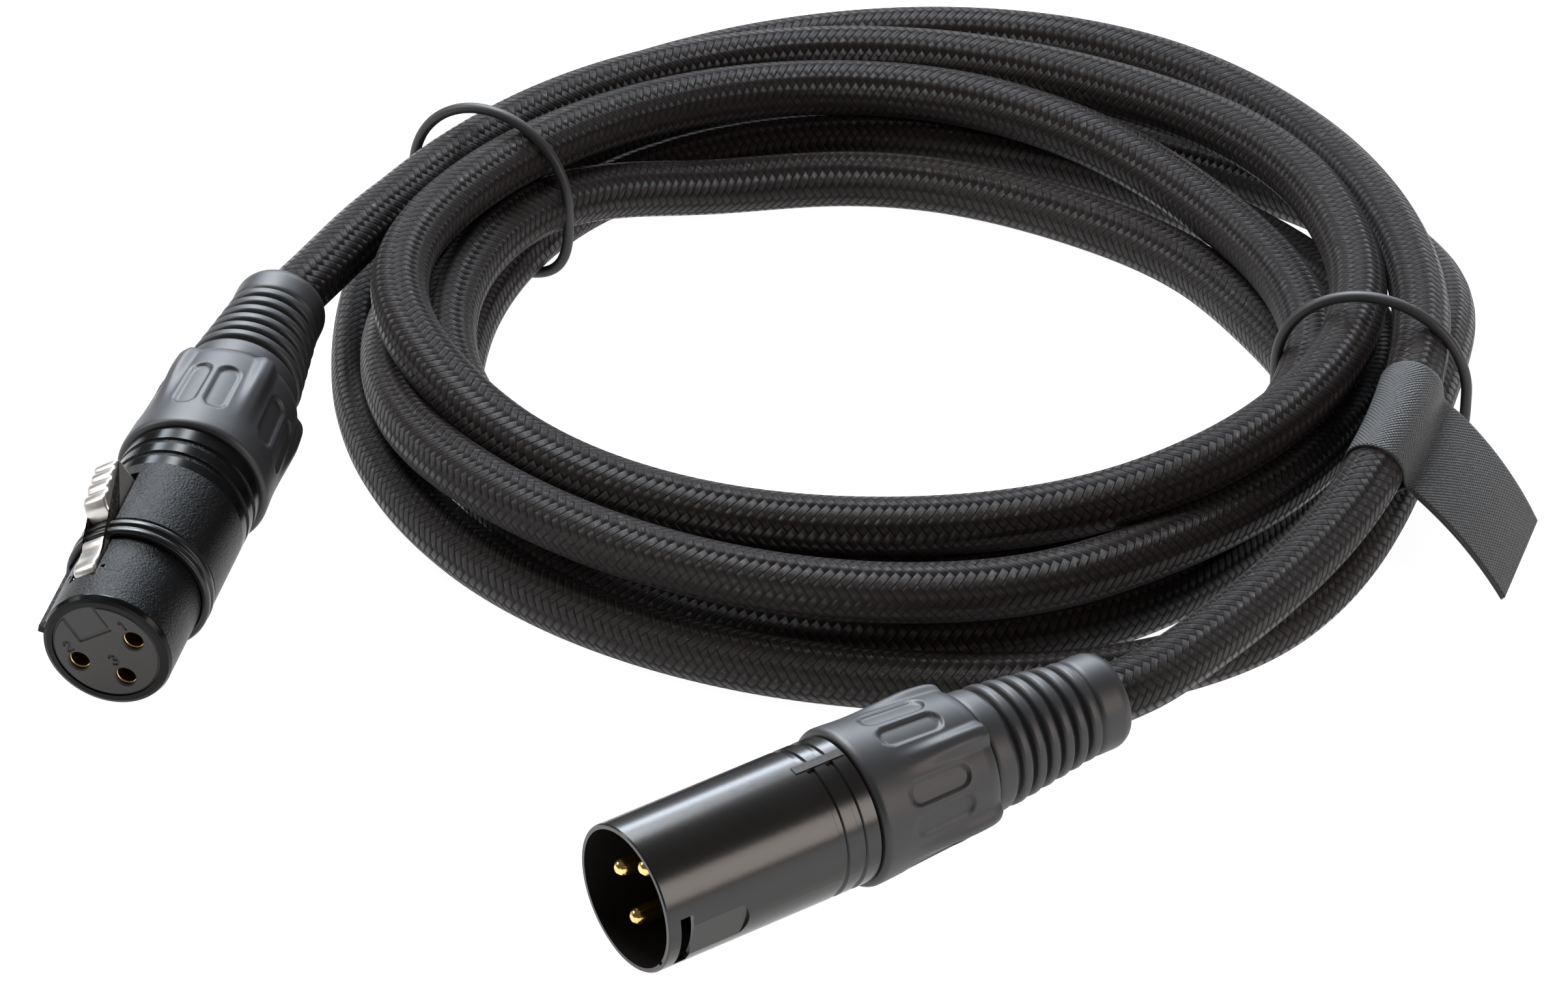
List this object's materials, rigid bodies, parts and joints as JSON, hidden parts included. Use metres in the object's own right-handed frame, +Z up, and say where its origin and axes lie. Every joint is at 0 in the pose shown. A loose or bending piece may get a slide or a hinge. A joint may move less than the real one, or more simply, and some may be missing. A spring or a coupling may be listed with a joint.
{
  "type": "xlr cable coil",
  "caption": "Braided microphone cable coiled flat and held by rubber ties, with male and female 3-pole connectors, ribbed boots, a latch lever and a cloth label flag.",
  "frame": {"origin": "on the ground, at the middle of the whole footprint", "axes": "+Z up; -Y towards the side where the two connectors lie; +X towards the label"},
  "size_m": [0.1927, 0.2228, 0.0259],
  "materials": {
    "black_shell": "satin-gloss black plating",
    "grained_shell": "fine-grained matte black",
    "rubber_grip": "satin soft-touch",
    "gasket": "satin",
    "insert_plastic": "matte dark grey",
    "chuck_plastic": "matte off-white",
    "gold_contact": "gold-plated, polished",
    "nickel": "nickel-plated, polished",
    "cable_braid": "woven braid",
    "tie_rubber": "smooth satin",
    "label_cloth": "woven satin",
    "wire_bare": "stranded copper",
    "wire_red": "extruded",
    "wire_white": "extruded"
  },
  "bodies": {
    "cable": {"male_shell": "black_shell", "male_insert": "insert_plastic", "male_pin_1": "gold_contact", "male_pin_2": "gold_contact", "male_pin_3": "gold_contact", "male_chuck": "chuck_plastic", "male_wire_1": "wire_bare", "male_wire_2": "wire_red", "male_wire_3": "wire_white", "female_shell": "grained_shell", "female_gasket_ring": "gasket", "female_insert": "insert_plastic", "female_contact_1": "gold_contact", "female_contact_2": "gold_contact", "female_contact_3": "gold_contact", "female_latch_pin": "nickel", "female_latch_spring": "nickel", "female_chuck": "chuck_plastic", "female_wire_1": "wire_bare", "female_wire_2": "wire_red", "female_wire_3": "wire_white", "cable_end_male": "cable_braid", "cable_end_female": "cable_braid", "cable_lead_male": "cable_braid", "cable_lead_female": "cable_braid", "cable_coil": "cable_braid", "tie_left": "tie_rubber", "tie_right": "tie_rubber", "label_wrap": "label_cloth", "label_flag": "label_cloth"},
    "latch": {"female_latch_lever": "nickel"},
    "male_boot": {"male_boot": "rubber_grip"},
    "male_backshell": {"male_backshell": "rubber_grip"},
    "female_boot": {"female_boot": "rubber_grip"},
    "female_backshell": {"female_backshell": "rubber_grip"}
  },
  "joints": [
    {"name": "latch_press", "type": "hinge", "parent": "cable", "child": "latch", "pos_m": [-0.0901, -0.04194, 0.01591], "axis": [-0.816, 0.2689, -0.5117], "range_deg": [0, 3.5], "stiffness_Nm_per_rad": 0.5},
    {"name": "male_boot_slide", "type": "slide", "parent": "cable", "child": "male_boot", "axis": [0.821, 0.5706, 0.0218], "range_m": [0, 0.003]},
    {"name": "male_backshell_turn", "type": "hinge", "parent": "male_boot", "child": "male_backshell", "pos_m": [0.01154, -0.08088, 0.01047], "axis": [0.821, 0.5706, 0.0218], "range_deg": [0, 1080]},
    {"name": "female_boot_slide", "type": "slide", "parent": "cable", "child": "female_boot", "axis": [0.2463, 0.9626, 0.1132], "range_m": [0, 0.003]},
    {"name": "female_backshell_turn", "type": "hinge", "parent": "female_boot", "child": "female_backshell", "pos_m": [-0.0776, -0.00919, 0.01319], "axis": [0.2463, 0.9626, 0.1132], "range_deg": [0, 1080]}
  ],
  "couplings": [
    {"joint": "male_boot_slide", "follows": "male_backshell_turn", "m_per_rad": 0.00015915},
    {"joint": "female_boot_slide", "follows": "female_backshell_turn", "m_per_rad": 0.00015915}
  ]
}
